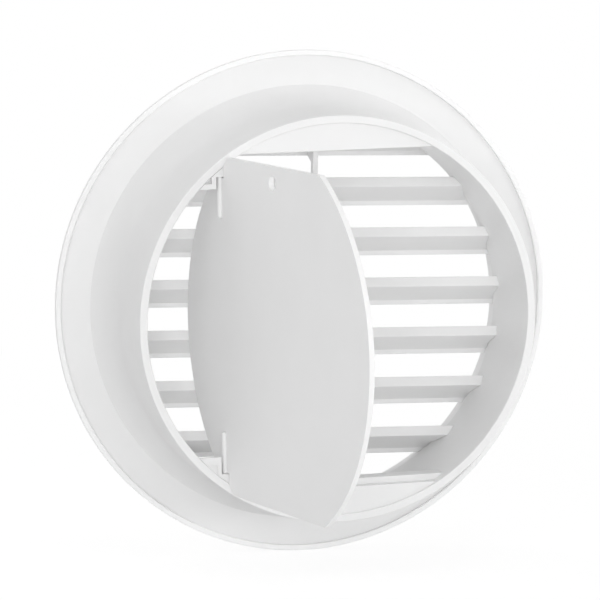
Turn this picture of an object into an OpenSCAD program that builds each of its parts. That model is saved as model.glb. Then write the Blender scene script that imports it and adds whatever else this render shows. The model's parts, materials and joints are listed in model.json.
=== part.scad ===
// Recessed round air vent with a back-draught flap, for a 100 mm duct.
// Origin: on the duct axis, in the plane of the rim that seats on the wall.
// Y runs along the duct: plus is the room side with the louvre, minus is the
// duct side with the spigot and the flap. Z is up.
// A depth below is measured from the rim plane towards the duct.

/* [Bezel] */
// Distance by which the bezel stands out beyond the spigot
bezel_overhang = 13.2; // [12:0.1:20]
// Width of the bezel's rim wall
rim_wall = 1.3; // [1:0.1:2]
// Thickness of the bezel's front plate
bezel_plate = 2.2; // [1.8:0.1:4]
// Rounding of the bezel's outer front edge
bezel_round = 3; // [1.5:0.1:3.6]
// Step from the spigot's bore out to the louvre's opening
mouth_step = 0.85; // [0.6:0.05:1]
// Depth of the narrow end of the mouth's flare
mouth_depth = 1.8; // [1:0.1:3]
// Width of the mouth's flare on the front face
mouth_flare = 3.6; // [2:0.1:5]
// Depth of the sleeve's rear end
sleeve_depth = 6.1; // [5:0.1:8]
// Wall of the sleeve around the louvre
sleeve_wall = 0.9; // [0.7:0.05:1]

/* [Louvre] */
// Distance from the bore's top down to the top edge blade's rear edge
top_inset = 2.83; // [2:0.01:4]
// Distance from the bore's bottom up to the bottom edge blade's rear edge
bottom_inset = 4.93; // [4:0.01:6]
// Depth of the blades' rear edges
blade_rear = 11.4; // [10:0.1:13]
// Set-back of the blades' front edges from the narrow end of the mouth
blade_inset = 0.1; // [0:0.1:1]
// Height of a blade's rear edge face
blade_edge = 2.3; // [1.6:0.1:2.6]
// Lean of that face, by which its top lies further from the spigot's open end
blade_lean = 1; // [0.2:0.1:1.2]
// Height of a blade's front edge above its drip lip
blade_nose = 1.5; // [1.2:0.1:2]
// Fall of a blade's underside from rear to front
blade_fall = 4.35; // [3.8:0.05:5]
// Height of the drip lip under a blade's front edge
drip_h = 1.2; // [0.8:0.1:1.6]
// Thickness of the drip lip
drip_t = 1.1; // [0.8:0.1:1.6]
// Width of the upright fin that ties the blades together
mullion_w = 1.3; // [1:0.1:3]
// Depth of the fin's rear edge
mullion_rear = 8.5; // [7:0.1:10]
// Thickness of the fin along the duct, between its gussets
mullion_t = 2; // [1.4:0.1:3]
// Height of the gusset from each drip lip back to the fin
gusset_h = 1.3; // [0.6:0.1:2]

/* [Collar] */
// Outer diameter of the spigot, for a 100 mm duct
spigot_d = 98.6; // [98:0.1:99]
// Wall of the spigot
spigot_wall = 1.95; // [1.7:0.05:2.2]
// Depth of the spigot's open end
spigot_depth = 33.9; // [31:0.1:38]
// Thickness of the collar's flange at its outer edge
flange_t = 1.1; // [1:0.1:2]
// Width of the flange from its outer edge to the crease where its fillet starts
flange_w = 7.1; // [5:0.1:8]
// Depth of the flange's rear face at its outer edge, below the rim plane
flange_sink = 0.8; // [0.4:0.1:1.2]
// Depth of the flange's rear face at the crease
flange_rise = 0.2; // [0:0.1:0.8]
// Depth at which the fillet has run out into the spigot
fillet_depth = 12.2; // [10:0.1:14]
// Lead-in chamfer outside the spigot's open end
lip_chamfer = 0.3; // [0.1:0.05:0.6]
// Turn of the collar in the bezel, seen from the duct side
collar_turn = 2.2; // [0:0.1:10]

/* [Stop webs] */
// Height of the webs in their middle
web_h = 6.5; // [5.4:0.05:7.6]
// Thickness of the webs along the duct
web_t = 8; // [4:0.5:10]
// Set-back of the webs' outer faces from the spigot's open end
web_sink = 0.6; // [0.3:0.1:1]
// Height by which the lower web's inner part stands above its edge, for the flap to close on
ledge_h = 1.5; // [0.8:0.1:2]

/* [Flap] */
// Thickness of the flap
flap_t = 1.3; // [1:0.05:1.6]
// Distance of the pivot from the spigot's open end
pivot_inset = 2.05; // [1.7:0.05:3]
// Gap between the blades' rear edges and the flap's narrow side as it swings past
louvre_gap = 1.55; // [0.5:0.05:4]
// Angle by which the flap stands open
flap_open = 78; // [0:1:90]
// Diameter of the small hole near the flap's top edge
vent_hole_d = 3.6; // [2:0.1:5]
// Distance of that hole from the flap's top edge
vent_hole_drop = 4; // [3:0.1:8]
// Width of the ribs at the hinge pins
rib_w = 1.7; // [1.2:0.1:2.4]
// Length of those ribs
rib_len = 9; // [4:0.5:14]
// Distance from the pivot to the middle of a rib, along the flap
rib_offset = 0.45; // [0:0.05:0.8]

/* [Hinge] */
// Diameter of the hinge pins
pin_d = 2; // [1.6:0.1:2.4]
// Reach of the hinge pins into the spigot's wall
pin_reach = 0.53; // [0.3:0.01:0.8]
// Height of the bearings where they stand lowest on the bore's wall
bearing_h = 0.63; // [0.4:0.01:1.5]
// Diameter of the bearing bosses
boss_d = 4.2; // [3.8:0.1:4.4]
// Distance from the upper bearing's inner end down to its bracket's straight edge
upper_bracket_drop = 2.9; // [2:0.05:5]
// Distance from the lower bearing's inner end up to its bracket's straight edge
lower_bracket_drop = 4.2; // [2:0.05:5]
// Height of the upper bracket's strut, which leaves a slot to the bore's wall
upper_strut_h = 1.3; // [1:0.1:2]
// Height of the lower bracket's strut, which leaves a smaller one
lower_strut_h = 2; // [1.3:0.1:2]
// Width of the post between strut and boss
post_w = 1.1; // [0.8:0.1:1.4]
// Lap of the post over the side of its boss
post_lap = 0.3; // [0.2:0.05:0.4]

/* [Fits] */
// Gap between the collar and the bezel
seat_gap = 0.1; // [0.05:0.05:0.2]
// Height of the snap bead inside the rim wall
snap_h = 0.3; // [0.15:0.05:0.4]
// Gap between the blades' ends and the spigot's bore
blade_gap = 0.15; // [0.05:0.05:0.4]
// Gap around the flap
flap_gap = 0.3; // [0.2:0.05:0.6]
// Radial play of the pins in their bearings
pin_play = 0.08; // [0.04:0.01:0.1]

/* [Hidden] */
// Number of full blades, as many as the list above names
blade_count = 6;
round_fn = 96;
small_fn = 32;
arc_steps = 8;
overrun = 1;
plastic = [0.93, 0.93, 0.93];
plastic_inner = [0.88, 0.88, 0.88];
plastic_flap = [0.84, 0.84, 0.84];

spigot_r = spigot_d / 2;
bore_r = spigot_r - spigot_wall;

bezel_r = spigot_r + bezel_overhang;
rim_r = bezel_r - rim_wall;
rim_edge = 0.25;
seat_h = flange_sink + flange_t + seat_gap;
bezel_h = seat_h + bezel_plate;
mouth_r = bore_r + mouth_step;
sleeve_r = mouth_r + sleeve_wall;

flange_r = rim_r - seat_gap;
crease_r = flange_r - flange_w;
counterbore_r = sleeve_r + seat_gap;
counterbore_depth = sleeve_depth + seat_gap;
fillet_start = 140;
fillet_w = (crease_r - spigot_r) / (1 + cos(fillet_start));
fillet_h = (fillet_depth - flange_rise) / sin(fillet_start);
snap_depth = -flange_sink - flange_t / 2;

blade_front = mouth_depth + blade_inset;
blade_pitch = (2 * bore_r - top_inset - bottom_inset) / (blade_count + 1);
drop = blade_edge + blade_fall + drip_h;
drip_rear = blade_front + drip_t;
blade_reach = 2 * bezel_r;
blade_end_r = bore_r - blade_gap;

web_z = bore_r - web_h;
flap_r = bore_r - flap_gap;
flap_z = web_z - flap_gap;
pivot_depth = spigot_depth - pivot_inset;
pivot_x = flap_r - (pivot_depth - blade_rear - louvre_gap);

boss_r = boss_d / 2;
bearing_end = sqrt(bore_r * bore_r - pivot_x * pivot_x);
bearing_foot = sqrt(bore_r * bore_r - (pivot_x + boss_r) * (pivot_x + boss_r));
bearing_z = bearing_foot - bearing_h;
bracket_depth = pivot_depth + flap_t / 2 + flap_gap;
ledge_depth = pivot_depth - flap_t / 2 - flap_gap;
pin_end = bearing_end + pin_reach;
pin_r = pin_d / 2;
pocket_r = pin_r + pin_play;
pocket_end = pin_end + flap_gap;
notch_w = boss_r + flap_gap;
notch_z = bearing_z - flap_gap;
web_x = sqrt(bore_r * bore_r - web_z * web_z);
swing_end = max(2 * notch_w, norm([pivot_x - web_x + flap_t / 2, pivot_inset]));

// Stands a profile of radius and depth on the duct axis and turns it
module on_axis() {
  rotate([90, 0, 0]) rotate_extrude($fn = round_fn) children();
}

// Extrudes an outline in the X-Z plane from one depth to a greater one
module between(depth_from, depth_to) {
  translate([0, -depth_from, 0])
    rotate([90, 0, 0]) linear_extrude(height = depth_to - depth_from) children();
}

// A round plug on the duct axis
module plug(r, depth_from, depth_to) {
  between(depth_from, depth_to) circle(r = r, $fn = round_fn);
}

// Turns a piece of the collar moulding in the bezel
module turned() {
  rotate([0, -collar_turn, 0]) children();
}

// Quarter ellipse about a centre, from one angle to another
function arc(cx, cy, rx, ry, from, to) =
  [for (i = [0:arc_steps]) let(a = from + (to - from) * i / arc_steps)
    [cx + rx * cos(a), cy + ry * sin(a)]];

function bezel_outline() = concat(
  [[rim_r, -seat_h]],
  [[rim_r, snap_depth - snap_h], [rim_r - snap_h, snap_depth], [rim_r, snap_depth + snap_h]],
  [[rim_r, -rim_edge], [rim_r + rim_edge, 0], [bezel_r - rim_edge, 0], [bezel_r, -rim_edge]],
  arc(bezel_r - bezel_round, bezel_round - bezel_h, bezel_round, -bezel_round, 0, 90),
  arc(mouth_r + mouth_flare, mouth_depth, mouth_flare, -bezel_h - mouth_depth, 90, 180),
  [[mouth_r, sleeve_depth], [sleeve_r, sleeve_depth], [sleeve_r, -seat_h]]
);

module bezel() {
  color(plastic) on_axis() polygon(bezel_outline());
}

// Cross-section of a blade, with its rear top edge at height z and a rear face of height edge
module blade_section(z, edge) {
  front_low = z - edge - blade_fall - drip_h;
  polygon(concat(
    [[blade_rear - blade_lean, z], [blade_rear, z - blade_edge]],
    edge > blade_edge ? [[blade_rear, z - edge]] : [],
    [[drip_rear, front_low + drip_h], [drip_rear, front_low], [blade_front, front_low]],
    [[blade_front, z - drop + drip_h + blade_nose]]
  ));
}

// A blade that runs past the louvre on both sides
module blade_bar(z, edge = blade_edge) {
  translate([-blade_reach / 2, 0, 0])
    rotate([90, 0, 90]) mirror([1, 0, 0])
      linear_extrude(height = blade_reach) blade_section(z, edge);
}

// The round space that the blades fill: the sleeve, then the spigot's bore
module louvre_space() {
  plug(mouth_r, blade_front - overrun, sleeve_depth);
  plug(blade_end_r, sleeve_depth - overrun, blade_rear + overrun);
}

function blade_height(i) = bore_r - top_inset - i * blade_pitch;

// Blade 0 is the top edge blade, and the one after the last is the bottom edge blade
module blade(i) {
  color(plastic_inner) intersection() {
    blade_bar(blade_height(i));
    louvre_space();
  }
}

// Height of a blade's underside above its drip lip, at a depth
function underside_rise(depth) =
  drip_h + blade_fall * (depth - drip_rear) / (blade_rear - drip_rear);

// Side view of the upright fin, with a gusset from the drip lip under each full blade
module mullion_section() {
  fin_front = mullion_rear - mullion_t;
  fin_top = blade_height(0) - drop + underside_rise(mullion_rear) + overrun;
  translate([fin_front, -mouth_r]) square([mullion_t, mouth_r + fin_top]);
  for (i = [0:blade_count])
    translate([0, blade_height(i) - drop]) polygon([
      [drip_rear, 0],
      [fin_front, -gusset_h],
      [fin_front, underside_rise(fin_front) + overrun],
      [drip_rear, drip_h + overrun]
    ]);
}

// Upright fin behind the drip lips, in lengths between the blades
module mullion() {
  color(plastic_inner) difference() {
    intersection() {
      translate([-mullion_w / 2, 0, 0]) rotate([90, 0, 90]) mirror([1, 0, 0])
        linear_extrude(height = mullion_w) mullion_section();
      louvre_space();
    }
    for (i = [0:blade_count]) blade_bar(blade_height(i));
    blade_bar(blade_height(blade_count + 1), bezel_r);
  }
}

function collar_outline() = concat(
  [[flange_r, -seat_h + seat_gap]],
  [[flange_r, snap_depth - snap_h], [flange_r - snap_h, snap_depth]],
  [[flange_r, snap_depth + snap_h], [flange_r, -flange_sink - rim_edge]],
  [[flange_r - rim_edge, -flange_sink]],
  arc(spigot_r + fillet_w, fillet_depth, fillet_w, -fillet_h, fillet_start, 180),
  [[spigot_r, spigot_depth - lip_chamfer], [spigot_r - lip_chamfer, spigot_depth]],
  [[bore_r, spigot_depth], [bore_r, counterbore_depth], [counterbore_r, counterbore_depth]],
  [[counterbore_r, -seat_h + seat_gap]]
);

// Hole on the pivot axis, from a height outwards, at the top or at the bottom
module pivot_hole(side, z_from, z_to, r) {
  translate([-pivot_x, -pivot_depth, side > 0 ? z_from : -z_to])
    cylinder(r = r, h = z_to - z_from, $fn = small_fn);
}

// Spigot and flange in one moulding, with blind holes for the hinge pins
module collar() {
  color(plastic) turned() difference() {
    on_axis() polygon(collar_outline());
    for (side = [-1, 1]) pivot_hole(side, bearing_z, pocket_end, pocket_r);
  }
}

// Segment of the bore beyond a height, from one depth to another
module segment(side, height, depth_from, depth_to) {
  intersection() {
    plug(bore_r, depth_from, depth_to);
    translate([-bore_r, -spigot_depth, side > 0 ? height : -height - bore_r])
      cube([2 * bore_r, spigot_depth, bore_r]);
  }
}

// Segment that closes the bore beyond the flap's straight edge
module web(side) {
  color(plastic) turned() difference() {
    union() {
      segment(side, web_z, spigot_depth - web_t, spigot_depth - web_sink);
      if (side < 0) difference() {
        segment(side, web_z - ledge_h, spigot_depth - web_t, ledge_depth);
        pivot_hole(side, bearing_z - overrun, web_z, boss_r);
      }
    }
    pivot_hole(side, bearing_z, pocket_end, pocket_r);
  }
}

// Outline of a bearing bracket's strut, its post and the plate behind its boss, for the top
module bracket_outline(bracket_z, strut_h) {
  free_x = post_lap - pivot_x - boss_r;
  translate([-bore_r, bracket_z]) square([bore_r + free_x, strut_h]);
  translate([free_x - post_w, bracket_z]) square([post_w, web_z - bracket_z]);
  translate([free_x - post_w, bearing_z])
    square([post_w + boss_r - post_lap, web_z - bearing_z]);
}

// Bearing for a hinge pin, with the strut that the closed flap stops on
module bearing_bracket(side) {
  bracket_drop = side > 0 ? upper_bracket_drop : lower_bracket_drop;
  strut_h = side > 0 ? upper_strut_h : lower_strut_h;
  color(plastic) turned() mirror([0, 0, side > 0 ? 0 : 1]) difference() {
    intersection() {
      plug(bore_r, pivot_depth - boss_d, spigot_depth);
      union() {
        between(bracket_depth, spigot_depth)
          bracket_outline(bearing_z - bracket_drop, strut_h);
        pivot_hole(1, bearing_z, web_z, boss_r);
      }
    }
    pivot_hole(1, bearing_z - overrun, bore_r + overrun, pocket_r);
  }
}

// Turns a piece of the closed flap about the pivot to its open place
module hinged() {
  translate([-pivot_x, -pivot_depth, 0])
    rotate([0, 0, -flap_open]) translate([pivot_x, pivot_depth, 0]) children();
}

// Distance from the duct axis at which a point of the flap, s from the pivot, leaves the spigot
function exit_x(s) =
  pivot_x - sqrt(max(0, s * s - pivot_inset * pivot_inset)) + flap_t / 2 * min(1, pivot_inset / s);

// Height to which the flap may reach there to clear the bore as it swings
function exit_z(s) = sqrt(bore_r * bore_r - exit_x(s) * exit_x(s)) - flap_gap;

// Corner of the flap beside its bearing that would catch the bore, for the top
module swing_corner() {
  polygon(concat(
    [for (i = [0:arc_steps]) let(s = notch_w + (swing_end - notch_w) * i / arc_steps)
      [s - pivot_x, exit_z(s)]],
    [[swing_end - pivot_x, bore_r], [notch_w - pivot_x - overrun, bore_r]],
    [[notch_w - pivot_x - overrun, exit_z(notch_w)]]
  ));
}

// Outline of the flap: a disc with straight top and bottom, notched at its bearings
module flap_outline() {
  difference() {
    intersection() {
      circle(r = flap_r, $fn = round_fn);
      square([2 * flap_r, 2 * flap_z], center = true);
    }
    for (side = [-1, 1]) {
      translate([-pivot_x, side * (notch_z + flap_r / 2)])
        square([2 * notch_w, flap_r], center = true);
      mirror([0, side > 0 ? 0 : 1]) swing_corner();
    }
    translate([0, flap_z - vent_hole_drop]) circle(d = vent_hole_d, $fn = small_fn);
  }
}

module flap() {
  color(plastic_flap) turned() hinged()
    between(pivot_depth - flap_t / 2, pivot_depth + flap_t / 2) flap_outline();
}

// Hinge pin on the flap's edge, with the rib that carries it on the flap's duct face
module hinge_pin(side) {
  rib_r = rib_w / 2;
  color(plastic_flap) turned() hinged() mirror([0, 0, side > 0 ? 0 : 1]) {
    pivot_hole(1, notch_z, pin_end, pin_r);
    difference() {
      translate([rib_offset - pivot_x, -pivot_depth - flap_t / 2, notch_z - rib_len]) {
        cylinder(r = rib_r, h = rib_len, $fn = small_fn);
        sphere(r = rib_r, $fn = small_fn);
      }
      translate([-flap_r, -pivot_depth - flap_t / 2, 0]) cube([2 * flap_r, flap_r, flap_r]);
    }
  }
}

bezel();
blade(0);  // top_edge_blade
blade(1);  // louvre_blade_1
blade(2);  // louvre_blade_2
blade(3);  // louvre_blade_3
blade(4);  // louvre_blade_4
blade(5);  // louvre_blade_5
blade(6);  // louvre_blade_6
blade(blade_count + 1);  // bottom_edge_blade
mullion();
collar();
web(1);  // upper_web
web(-1);  // lower_web
bearing_bracket(1);  // upper_bearing_bracket
bearing_bracket(-1);  // lower_bearing_bracket
flap();
hinge_pin(1);  // upper_hinge_pin
hinge_pin(-1);  // lower_hinge_pin
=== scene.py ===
import json
import math

import bmesh
import bpy
from mathutils import Matrix, Vector


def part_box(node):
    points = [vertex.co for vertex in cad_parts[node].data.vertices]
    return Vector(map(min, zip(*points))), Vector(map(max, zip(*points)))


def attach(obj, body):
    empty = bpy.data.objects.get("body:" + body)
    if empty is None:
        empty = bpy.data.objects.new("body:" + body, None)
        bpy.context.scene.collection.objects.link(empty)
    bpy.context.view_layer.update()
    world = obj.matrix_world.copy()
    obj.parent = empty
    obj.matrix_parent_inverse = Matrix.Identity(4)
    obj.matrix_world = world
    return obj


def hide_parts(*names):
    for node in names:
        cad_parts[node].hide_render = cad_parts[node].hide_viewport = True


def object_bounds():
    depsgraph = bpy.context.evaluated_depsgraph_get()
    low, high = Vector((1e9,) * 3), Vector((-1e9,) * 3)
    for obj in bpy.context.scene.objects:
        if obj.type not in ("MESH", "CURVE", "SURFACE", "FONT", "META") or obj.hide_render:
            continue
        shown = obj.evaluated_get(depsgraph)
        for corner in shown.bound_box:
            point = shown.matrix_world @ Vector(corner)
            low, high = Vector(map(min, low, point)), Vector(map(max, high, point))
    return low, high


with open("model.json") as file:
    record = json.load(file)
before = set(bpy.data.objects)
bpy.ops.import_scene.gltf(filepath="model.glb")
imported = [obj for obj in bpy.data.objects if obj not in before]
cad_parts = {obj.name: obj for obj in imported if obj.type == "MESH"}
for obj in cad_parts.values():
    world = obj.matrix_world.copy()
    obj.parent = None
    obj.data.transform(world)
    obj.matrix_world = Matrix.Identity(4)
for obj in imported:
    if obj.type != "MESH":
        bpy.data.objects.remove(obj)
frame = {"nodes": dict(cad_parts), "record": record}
cad_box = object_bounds()

MM = 0.001

# Camera, fitted to the rim, the spigot's end and the louvre
CAMERA_DISTANCE = 1036.7 * MM
CAMERA_YAW = 15.24
CAMERA_PITCH = 7.32
CAMERA_ROLL = 1.22
LENS = 251.0
SENSOR = 36.0
IMAGE_SIZE = 600
OPTICAL_CENTRE = (303.4, 301.9)
VIEW_END = 100

# Sizes in mm that the CAD box of a node gives
SPIGOT_END = -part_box("collar")[0].y / MM
BEZEL_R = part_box("bezel")[1].x / MM
BEZEL_FRONT = -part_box("bezel")[1].y / MM

# Bezel, in mm
RIM_R = BEZEL_R - 1.3
RIM_EDGE = 0.15
RIM_ROUND = 0.3
SEAT = -2.0
FRONT_ROUND = 3.0
MOUTH_R = 48.2
MOUTH_NARROW = 1.8
MOUTH_FLARE = 3.6
SLEEVE_END = 6.1
SLEEVE_R = 49.1
SLEEVE_ROUND = 0.2

# Collar, in mm, with the fillet's first angle and the collar's turn in the bezel in degrees
SPIGOT_R = 49.3
BORE_R = 47.35
FLANGE_SINK = -0.8
FLANGE_RISE = 0.2
CREASE_R = 54.0
FILLET_END = 12.2
FILLET_START = 140
LIP_ROUND = 0.3
BORE_ROUND = 0.2
COLLAR_TURN = 2.2

# Webs, in mm. The lower one has a ledge, up to the given depth, that the closed flap rests on.
WEB_EDGE = 40.85
WEB_T = 8.0
WEB_SINK = 0.6
WEB_ROUND = 0.3
WEB_EDGE_ROUND = 0.15
LEDGE_H = 1.5
LEDGE_DEPTH = 30.9

# The lower bracket fills the corner between its strut, its post and the spigot's wall, in mm
CORNER = [(-34.2, -33.4), (-30.8, -33.4), (-30.8, -36.4)]
CORNER_DEPTHS = (33.0, 33.7)

# Far end of a hinge pin's rib along the pin's axis, and how far it is drawn out, in mm
RIB_END = 35.5
RIB_REACH = 0.05
RIB_LONGER = 0.2

# Louvre, in mm
TOP_BLADE = 44.52
BLADE_DROP = 7.85
BLADE_PITCH = 12.42
BLADE_GAPS = 7
BLADE_END_BAND = 1.0
DRIP_REAR = 3.0
DRIP_H = 1.2
MULLION_W = 1.3
MULLION_T = 2.0
MULLION_REAR = 8.5
MULLION_TOP = 3.0
MULLION_FOOT = 3.2
GUSSET_H = 1.3

# Seam between collar and bezel, and how far a blade or web runs into the wall that it joins, in mm
SEAM = 0.01
ROOT = 0.6

# Rounded edges of the pieces that take their form from the CAD, in mm
BLADE_ROUND = 0.15
MULLION_ROUND = 0.2
HINGE_ROUND = 0.1
ROUND_STEPS = 3

# Moulded surface, in mm
FLOW_SIZE = 14.0
POLISH_SIZE = 3.0
GRAIN_SIZE = 0.35
GRAIN_DEPTH = 0.01
DEPTH_OF_LIGHT = 1.2

# Moulded surface: the part of a noise that is used, its darkest tone, how much its roughness varies,
# the strength of its grain, and how the plastic takes light
NOISE_LOW = 0.3
NOISE_HIGH = 0.7
FLOW_TONE = 0.985
SATIN = 0.42
SATIN_SPREAD = 0.04
GRAIN_STRENGTH = 0.25
ABS_IOR = 1.53
LIGHT_WITHIN = 0.3

# Paper sweep and sky, as the camera sees them and as they light the vent. Sizes are in metres.
FLOOR_HALF = 6.0
PAPER_GLOW = 0.86
SHADOW_NEAR = 0.16
SHADOW_FAR = 0.36
SKY = 0.4

# Soft boxes: azimuth from the duct side and elevation in degrees, width and height in metres, watts
LAMP_DISTANCE = 1.5
LAMPS = {
    "left_high": (-45, 25, 0.8, 0.6, 2.4),
    "front_left": (-15, 5, 0.8, 0.28, 4.9),
    "front_right": (15, 5, 0.8, 0.28, 2.6),
    "side_right": (75, 5, 0.8, 0.28, 7),
    "overhead": (0, 82, 0.9, 0.9, 3.2),
    "room_left": (-130, 50, 0.8, 0.8, 2.9),
}

TURN_STEPS = 288
FRONT_STEPS = 16
CURVE_STEPS = 24
WEB_COLUMNS = 64
FLAT = math.radians(0.5)
CREASE = math.radians(11)
EDGE = math.radians(30)


def linear(code):
    """Linear colour, with alpha, of an sRGB hex value."""
    parts = [int(code[i:i + 2], 16) / 255 for i in (1, 3, 5)]
    return [c / 12.92 if c <= 0.04045 else ((c + 0.055) / 1.055) ** 2.4 for c in parts] + [1.0]


def add_node(tree, kind, settings=None, links=None):
    """Adds a node, sets its properties and sockets by name, and links its inputs by name or number."""
    node = tree.nodes.new(kind)
    for name, value in (settings or {}).items():
        if hasattr(node, name):
            setattr(node, name, value)
        else:
            node.inputs[name].default_value = value
    for name, socket in (links or {}).items():
        tree.links.new(socket, node.inputs[name])
    return node


def new_material(name):
    """Material without nodes, and its tree."""
    material = bpy.data.materials.new(name)
    material.use_nodes = True
    material.node_tree.nodes.clear()
    return material, material.node_tree


def noise_range(tree, place, size, detail, low, high):
    """Noise of a size in mm, spread from low to high."""
    noise = add_node(tree, "ShaderNodeTexNoise", {"Scale": 1 / (size * MM), "Detail": detail},
                     {"Vector": place})
    spread = {"From Min": NOISE_LOW, "From Max": NOISE_HIGH, "To Min": low, "To Max": high}
    return add_node(tree, "ShaderNodeMapRange", spread, {"Value": noise.outputs["Fac"]}).outputs["Result"]


def moulded_abs(name, colour):
    """Injection-moulded white ABS. A fine grain from the mould keeps the skin satin, the tone drifts a
    little where the melt flowed, and the polish varies, so that highlights stay soft and uneven.
    The plastic lets light a little way in, which fills its edges and thin walls."""
    material, tree = new_material(name)
    place = add_node(tree, "ShaderNodeTexCoord").outputs["Object"]
    tone = noise_range(tree, place, FLOW_SIZE, 2.0, FLOW_TONE, 1.0)
    paint = add_node(tree, "ShaderNodeVectorMath", {"operation": "SCALE", "Vector": linear(colour)[:3]},
                     {"Scale": tone})
    roughness = noise_range(tree, place, POLISH_SIZE, 3.0, SATIN - SATIN_SPREAD, SATIN + SATIN_SPREAD)
    grain = add_node(tree, "ShaderNodeTexNoise", {"Scale": 1 / (GRAIN_SIZE * MM), "Detail": 2.0},
                     {"Vector": place})
    bump = add_node(tree, "ShaderNodeBump", {"Strength": GRAIN_STRENGTH, "Distance": GRAIN_DEPTH * MM},
                    {"Height": grain.outputs["Fac"]})
    surface = add_node(tree, "ShaderNodeBsdfPrincipled", {
        "IOR": ABS_IOR, "Subsurface Weight": LIGHT_WITHIN, "Subsurface Radius": (1.0, 1.0, 1.0),
        "Subsurface Scale": DEPTH_OF_LIGHT * MM,
    }, {"Base Color": paint.outputs["Vector"], "Roughness": roughness, "Normal": bump.outputs["Normal"]})
    add_node(tree, "ShaderNodeOutputMaterial", links={"Surface": surface.outputs["BSDF"]})
    return material


def arc(centre, radii, start, end, steps):
    """Points of an ellipse about a centre, from one angle to another, in degrees."""
    angles = [math.radians(start + (end - start) * i / steps) for i in range(steps + 1)]
    return [(centre[0] + radii[0] * math.cos(a), centre[1] + radii[1] * math.sin(a)) for a in angles]


def rounded(points, steps=6):
    """Closed outline in which each corner that has a third number is rounded to that radius."""
    outline = []
    for i, point in enumerate(points):
        corner = Vector(point[:2])
        if len(point) == 2:
            outline.append(tuple(corner))
            continue
        before = (Vector(points[i - 1][:2]) - corner).normalized()
        after = (Vector(points[(i + 1) % len(points)][:2]) - corner).normalized()
        half = before.angle(after) / 2
        centre = corner + (before + after).normalized() * point[2] / math.sin(half)
        first = corner + before * point[2] / math.tan(half) - centre
        last = corner + after * point[2] / math.tan(half) - centre
        sweep = math.pi - 2 * half
        for k in range(steps + 1):
            t = k / steps * sweep
            outline.append(tuple(
                centre + (first * math.sin(sweep - t) + last * math.sin(t)) / math.sin(sweep)))
    return outline


def collar_turn(size=3):
    """Turn of the collar and its pieces in the bezel, about the duct axis."""
    return Matrix.Rotation(math.radians(-COLLAR_TURN), size, "Y")


def finished_piece(node, form, sharp, turn=None):
    """Turns a form in mm into the piece that stands for a CAD node and moves with its body."""
    bmesh.ops.recalc_face_normals(form, faces=form.faces)
    mesh = bpy.data.meshes.new(node + "_moulded")
    form.to_mesh(mesh)
    form.free()
    mesh.transform((turn or Matrix.Identity(4)) @ Matrix.Scale(MM, 4))
    mesh.shade_smooth()
    mesh.set_sharp_from_angle(angle=sharp)
    piece = bpy.data.objects.new(node + "_moulded", mesh)
    bpy.context.scene.collection.objects.link(piece)
    row = next(r for r in frame["record"]["subparts"] if r["node"] == node)
    mesh.materials.append(finish[row["material_slot"]])
    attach(piece, body_of[node])
    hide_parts(node)
    return piece


def even_shading(piece):
    """Keeps wide flat faces evenly shaded beside their small rounded edges."""
    modifier = piece.modifiers.new("even shading", "WEIGHTED_NORMAL")
    modifier.keep_sharp = True


def skin(form, before, after):
    """Faces between two closed rows of points."""
    for i in range(len(before)):
        form.faces.new((before[i - 1], before[i], after[i], after[i - 1]))


def turned(node, outline, turn=None):
    """Closed outline of radius and depth, turned about the duct axis."""
    form = bmesh.new()
    rings = []
    for k in range(TURN_STEPS):
        a = math.tau * k / TURN_STEPS
        rings.append([form.verts.new((r * math.cos(a), -depth, r * math.sin(a))) for r, depth in outline])
    for k in range(TURN_STEPS):
        skin(form, rings[k - 1], rings[k])
    even_shading(finished_piece(node, form, CREASE, turn))


def bezel():
    """Rim, front plate, flared mouth and the sleeve around the louvre."""
    front = arc((BEZEL_R - FRONT_ROUND, BEZEL_FRONT + FRONT_ROUND), (FRONT_ROUND, -FRONT_ROUND), 0, 90,
                FRONT_STEPS)
    mouth = arc((MOUTH_R + MOUTH_FLARE, MOUTH_NARROW), (MOUTH_FLARE, BEZEL_FRONT - MOUTH_NARROW), 90, 180,
                CURVE_STEPS)
    turned("bezel", rounded(
        [(RIM_R, SEAT), (RIM_R, 0, RIM_ROUND), (BEZEL_R, 0, RIM_EDGE)] + front + mouth
        + [(MOUTH_R, SLEEVE_END, SLEEVE_ROUND), (SLEEVE_R, SLEEVE_END, SLEEVE_ROUND), (SLEEVE_R, SEAT)]))


def collar():
    """Flange, crease, concave fillet and spigot with a softly rounded lip."""
    flange_r = RIM_R - SEAM
    width = (CREASE_R - SPIGOT_R) / (1 + math.cos(math.radians(FILLET_START)))
    height = (FILLET_END - FLANGE_RISE) / math.sin(math.radians(FILLET_START))
    fillet = arc((SPIGOT_R + width, FILLET_END), (width, -height), FILLET_START, 180, CURVE_STEPS)
    turned("collar", rounded(
        [(flange_r, SEAT + SEAM), (flange_r, FLANGE_SINK)] + fillet
        + [(SPIGOT_R, SPIGOT_END, LIP_ROUND), (BORE_R, SPIGOT_END, LIP_ROUND),
           (BORE_R, SLEEVE_END + SEAM, BORE_ROUND), (SLEEVE_R + SEAM, SLEEVE_END + SEAM),
           (SLEEVE_R + SEAM, SEAT + SEAM)]), collar_turn(4))


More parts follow.
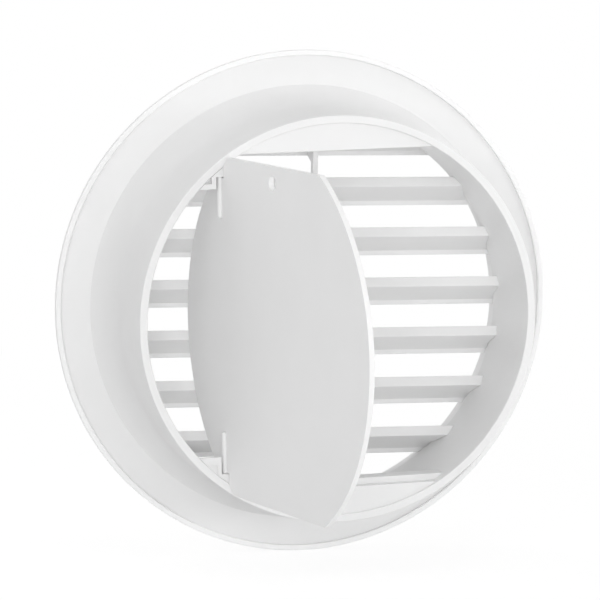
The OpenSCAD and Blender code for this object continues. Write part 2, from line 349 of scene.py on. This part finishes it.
def web(node, side, ledge):
    """Flat segment that closes the bore, run into the spigot's wall and rounded on its free edges.
    Its inner part stands above its edge by the height of the ledge."""
    reach = BORE_R + ROOT
    inner, outer = SPIGOT_END - WEB_T, SPIGOT_END - WEB_SINK
    free = [(inner, reach), (inner, WEB_EDGE - ledge, WEB_ROUND)]
    if ledge:
        free += [(LEDGE_DEPTH, WEB_EDGE - ledge, WEB_EDGE_ROUND), (LEDGE_DEPTH, WEB_EDGE)]
    free = rounded(free + [(outer, WEB_EDGE, WEB_EDGE_ROUND), (outer, reach)])[1:-1]
    end = math.acos((WEB_EDGE - ledge) / reach)
    form = bmesh.new()
    rows = []
    for k in range(WEB_COLUMNS + 1):
        a = end * (2 * k / WEB_COLUMNS - 1)
        x, top = reach * math.sin(a), reach * math.cos(a)
        outline = [(free[0][0], top)] + [(d, min(z, top)) for d, z in free] + [(free[-1][0], top)]
        rows.append([form.verts.new((x, -d, side * z)) for d, z in outline])
    for before, after in zip(rows, rows[1:]):
        skin(form, before, after)
    bmesh.ops.remove_doubles(form, verts=form.verts, dist=0.0001)
    bmesh.ops.dissolve_degenerate(form, edges=form.edges, dist=0.0001)
    even_shading(finished_piece(node, form, EDGE, collar_turn(4)))


def from_cad(node):
    """The node's mesh in mm, with its split points joined and its flat faces made whole."""
    form = bmesh.new()
    form.from_mesh(frame["nodes"][node].data)
    bmesh.ops.scale(form, vec=Vector((1, 1, 1)) / MM, verts=form.verts)
    bmesh.ops.remove_doubles(form, verts=form.verts, dist=0.001)
    bmesh.ops.dissolve_limit(form, angle_limit=FLAT, verts=form.verts, edges=form.edges)
    return form


def softened(node, form, width):
    """Piece whose edges are rounded as a mould leaves them."""
    piece = finished_piece(node, form, math.pi)
    bevel = piece.modifiers.new("rounded edges", "BEVEL")
    bevel.width = width * MM
    bevel.segments = ROUND_STEPS
    bevel.angle_limit = EDGE
    even_shading(piece)


def add_prism(form, near, far):
    """Closed prism between two outlines of equal length."""
    near, far = [[form.verts.new(point) for point in outline] for outline in (near, far)]
    form.faces.new(near)
    form.faces.new(far)
    skin(form, near, far)


def blade(node):
    """Blade that runs into the sleeve and the spigot's wall. Its ends are drawn out along it, and the
    edge of the top or bottom blade away from the duct axis."""
    form = from_cad(node)
    for vert in form.verts:
        radius = math.hypot(vert.co.x, vert.co.z)
        if radius < BORE_R - BLADE_END_BAND:
            continue
        if abs(vert.co.x) > BORE_R / 4:
            x = math.sqrt((radius + ROOT) ** 2 - vert.co.z ** 2)
            vert.co.x = math.copysign(x, vert.co.x)
        else:
            vert.co.x *= 1 + ROOT / radius
            vert.co.z *= 1 + ROOT / radius
    softened(node, form, BLADE_ROUND)


def bracket(node, corner):
    """Bearing bracket, with a corner filled where one is given."""
    form = from_cad(node)
    if corner:
        turn = collar_turn()
        near, far = ([turn @ Vector((x, -depth, z)) for x, z in corner] for depth in CORNER_DEPTHS)
        add_prism(form, near, far)
    softened(node, form, HINGE_ROUND)


def hinge_pin(node):
    """Hinge pin with its rib, whose far end is drawn out nearer to its bearing."""
    form = from_cad(node)
    axis = collar_turn() @ Vector((0, 0, 1))
    for vert in form.verts:
        along = vert.co.dot(axis)
        if abs(abs(along) - RIB_END) < RIB_REACH:
            vert.co += axis * math.copysign(RIB_LONGER, along)
    even_shading(finished_piece(node, form, EDGE))


def mullion():
    """Upright fin behind the drip lips, with a gusset under each blade."""
    front = MULLION_REAR - MULLION_T
    low = TOP_BLADE - BLADE_PITCH * BLADE_GAPS
    outline = [(MULLION_REAR, TOP_BLADE - MULLION_TOP), (MULLION_REAR, low), (front, low)]
    for i in reversed(range(BLADE_GAPS)):
        drip = TOP_BLADE - i * BLADE_PITCH - BLADE_DROP
        outline += [(front, drip - GUSSET_H), (DRIP_REAR, drip), (DRIP_REAR, drip + DRIP_H),
                    (front, drip + MULLION_FOOT)]
    form = bmesh.new()
    left, right = ([(x, -depth, z) for depth, z in outline] for x in (-MULLION_W / 2, MULLION_W / 2))
    add_prism(form, left, right)
    softened("mullion", form, MULLION_ROUND)


def make_camera():
    """Camera at the photograph's place, turned and shifted as the fit gives."""
    data = bpy.data.cameras.new("camera")
    data.sensor_width = SENSOR
    data.lens = LENS
    data.shift_x = (IMAGE_SIZE / 2 - OPTICAL_CENTRE[0]) / IMAGE_SIZE
    data.shift_y = (OPTICAL_CENTRE[1] - IMAGE_SIZE / 2) / IMAGE_SIZE
    data.clip_end = VIEW_END
    camera = bpy.data.objects.new("camera", data)
    bpy.context.scene.collection.objects.link(camera)
    yaw, pitch, roll = (math.radians(a) for a in (CAMERA_YAW, CAMERA_PITCH, CAMERA_ROLL))
    back = Vector((-math.sin(yaw) * math.cos(pitch), -math.cos(yaw) * math.cos(pitch), math.sin(pitch)))
    right = Vector((0, 0, 1)).cross(back).normalized()
    up = back.cross(right)
    turned_right = right * math.cos(roll) + up * math.sin(roll)
    turned_up = up * math.cos(roll) - right * math.sin(roll)
    axes = Matrix((turned_right, turned_up, back)).transposed().to_4x4()
    camera.matrix_world = Matrix.Translation(back * CAMERA_DISTANCE) @ axes
    bpy.context.scene.camera = camera


def seen_directly(tree):
    """1 for a camera, gloss or glass ray, which sees the background, and 0 for a ray that lights."""
    path = add_node(tree, "ShaderNodeLightPath").outputs
    camera_or_gloss = add_node(tree, "ShaderNodeMath", {"operation": "MAXIMUM"},
                               {0: path["Is Camera Ray"], 1: path["Is Glossy Ray"]})
    seen = add_node(tree, "ShaderNodeMath", {"operation": "MAXIMUM"},
                    {0: camera_or_gloss.outputs[0], 1: path["Is Transmission Ray"]})
    return seen.outputs[0]


def either(tree, choice, first, second):
    """The first shader where the choice is 0, and the second where it is 1."""
    return add_node(tree, "ShaderNodeMixShader", links={0: choice, 1: first, 2: second}).outputs[0]


def make_floor():
    """White paper sweep. The camera sees it over-lit to white, with the vent's soft shadow left in."""
    material, tree = new_material("white_paper_sweep")
    paper = add_node(tree, "ShaderNodeBsdfDiffuse", {"Color": linear("#f0f0f0")})
    glow = add_node(tree, "ShaderNodeEmission", {"Color": linear("#ffffff"), "Strength": PAPER_GLOW})
    shadow = add_node(tree, "ShaderNodeBsdfDiffuse", {"Color": linear("#7c7c7c")})
    washed = add_node(tree, "ShaderNodeAddShader", links={0: glow.outputs[0], 1: shadow.outputs[0]})
    place = add_node(tree, "ShaderNodeTexCoord").outputs["Object"]
    reach = add_node(tree, "ShaderNodeVectorMath", {"operation": "LENGTH"}, {"Vector": place})
    away = add_node(tree, "ShaderNodeMapRange", {"From Min": SHADOW_NEAR, "From Max": SHADOW_FAR},
                    {"Value": reach.outputs["Value"]})
    white = add_node(tree, "ShaderNodeEmission", {"Color": linear("#ffffff"), "Strength": 1.0})
    sweep = either(tree, away.outputs["Result"], washed.outputs[0], white.outputs[0])
    add_node(tree, "ShaderNodeOutputMaterial", links={
        "Surface": either(tree, seen_directly(tree), paper.outputs[0], sweep)})
    bottom = cad_box[0].z
    corners = [(-FLOOR_HALF, -FLOOR_HALF), (FLOOR_HALF, -FLOOR_HALF), (FLOOR_HALF, FLOOR_HALF),
               (-FLOOR_HALF, FLOOR_HALF)]
    mesh = bpy.data.meshes.new("floor")
    mesh.from_pydata([(x, y, bottom) for x, y in corners], [], [(0, 1, 2, 3)])
    floor = bpy.data.objects.new("floor", mesh)
    mesh.materials.append(material)
    bpy.context.scene.collection.objects.link(floor)


def make_world():
    """Sky that lights the vent evenly and looks white."""
    world = bpy.data.worlds.new("studio")
    world.use_nodes = True
    tree = world.node_tree
    tree.nodes.clear()
    sky = add_node(tree, "ShaderNodeBackground", {"Color": linear("#ffffff"), "Strength": SKY})
    white = add_node(tree, "ShaderNodeEmission", {"Color": linear("#ffffff"), "Strength": 1.0})
    add_node(tree, "ShaderNodeOutputWorld", links={
        "Surface": either(tree, seen_directly(tree), sky.outputs[0], white.outputs[0])})
    bpy.context.scene.world = world


def soft_box(name, azimuth, elevation, width, height, power):
    """Soft box that faces the vent, with azimuth 0 in front of the duct side."""
    data = bpy.data.lights.new(name, "AREA")
    data.shape = "RECTANGLE"
    data.size = width
    data.size_y = height
    data.energy = power
    light = bpy.data.objects.new(name, data)
    a, e = math.radians(azimuth), math.radians(elevation)
    back = Vector((math.sin(a) * math.cos(e), -math.cos(a) * math.cos(e), math.sin(e)))
    light.location = back * LAMP_DISTANCE
    light.rotation_mode = "QUATERNION"
    light.rotation_quaternion = back.to_track_quat("Z", "Y")
    bpy.context.scene.collection.objects.link(light)


make_camera()
make_floor()
make_world()
for name, lamp in LAMPS.items():
    soft_box(name, *lamp)

finish = {
    "grille_plastic": moulded_abs("white_moulded_abs_grille", "#f9f9f9"),
    "collar_plastic": moulded_abs("white_moulded_abs_collar", "#efefef"),
    "flap_plastic": moulded_abs("white_moulded_abs_flap", "#f4f4f4"),
}
body_of = {node: body for body, nodes in frame["record"]["behaviour"]["bodies"].items() for node in nodes}

bezel()
collar()
web("upper_web", 1, 0)
web("lower_web", -1, LEDGE_H)
for name in ["top_edge_blade", "bottom_edge_blade"] + [f"louvre_blade_{i}" for i in range(1, 7)]:
    blade(name)
mullion()
bracket("upper_bearing_bracket", None)
bracket("lower_bearing_bracket", CORNER)
softened("flap", from_cad("flap"), HINGE_ROUND)
for name in ("upper_hinge_pin", "lower_hinge_pin"):
    hinge_pin(name)

bpy.context.scene.view_settings.view_transform = "Standard"
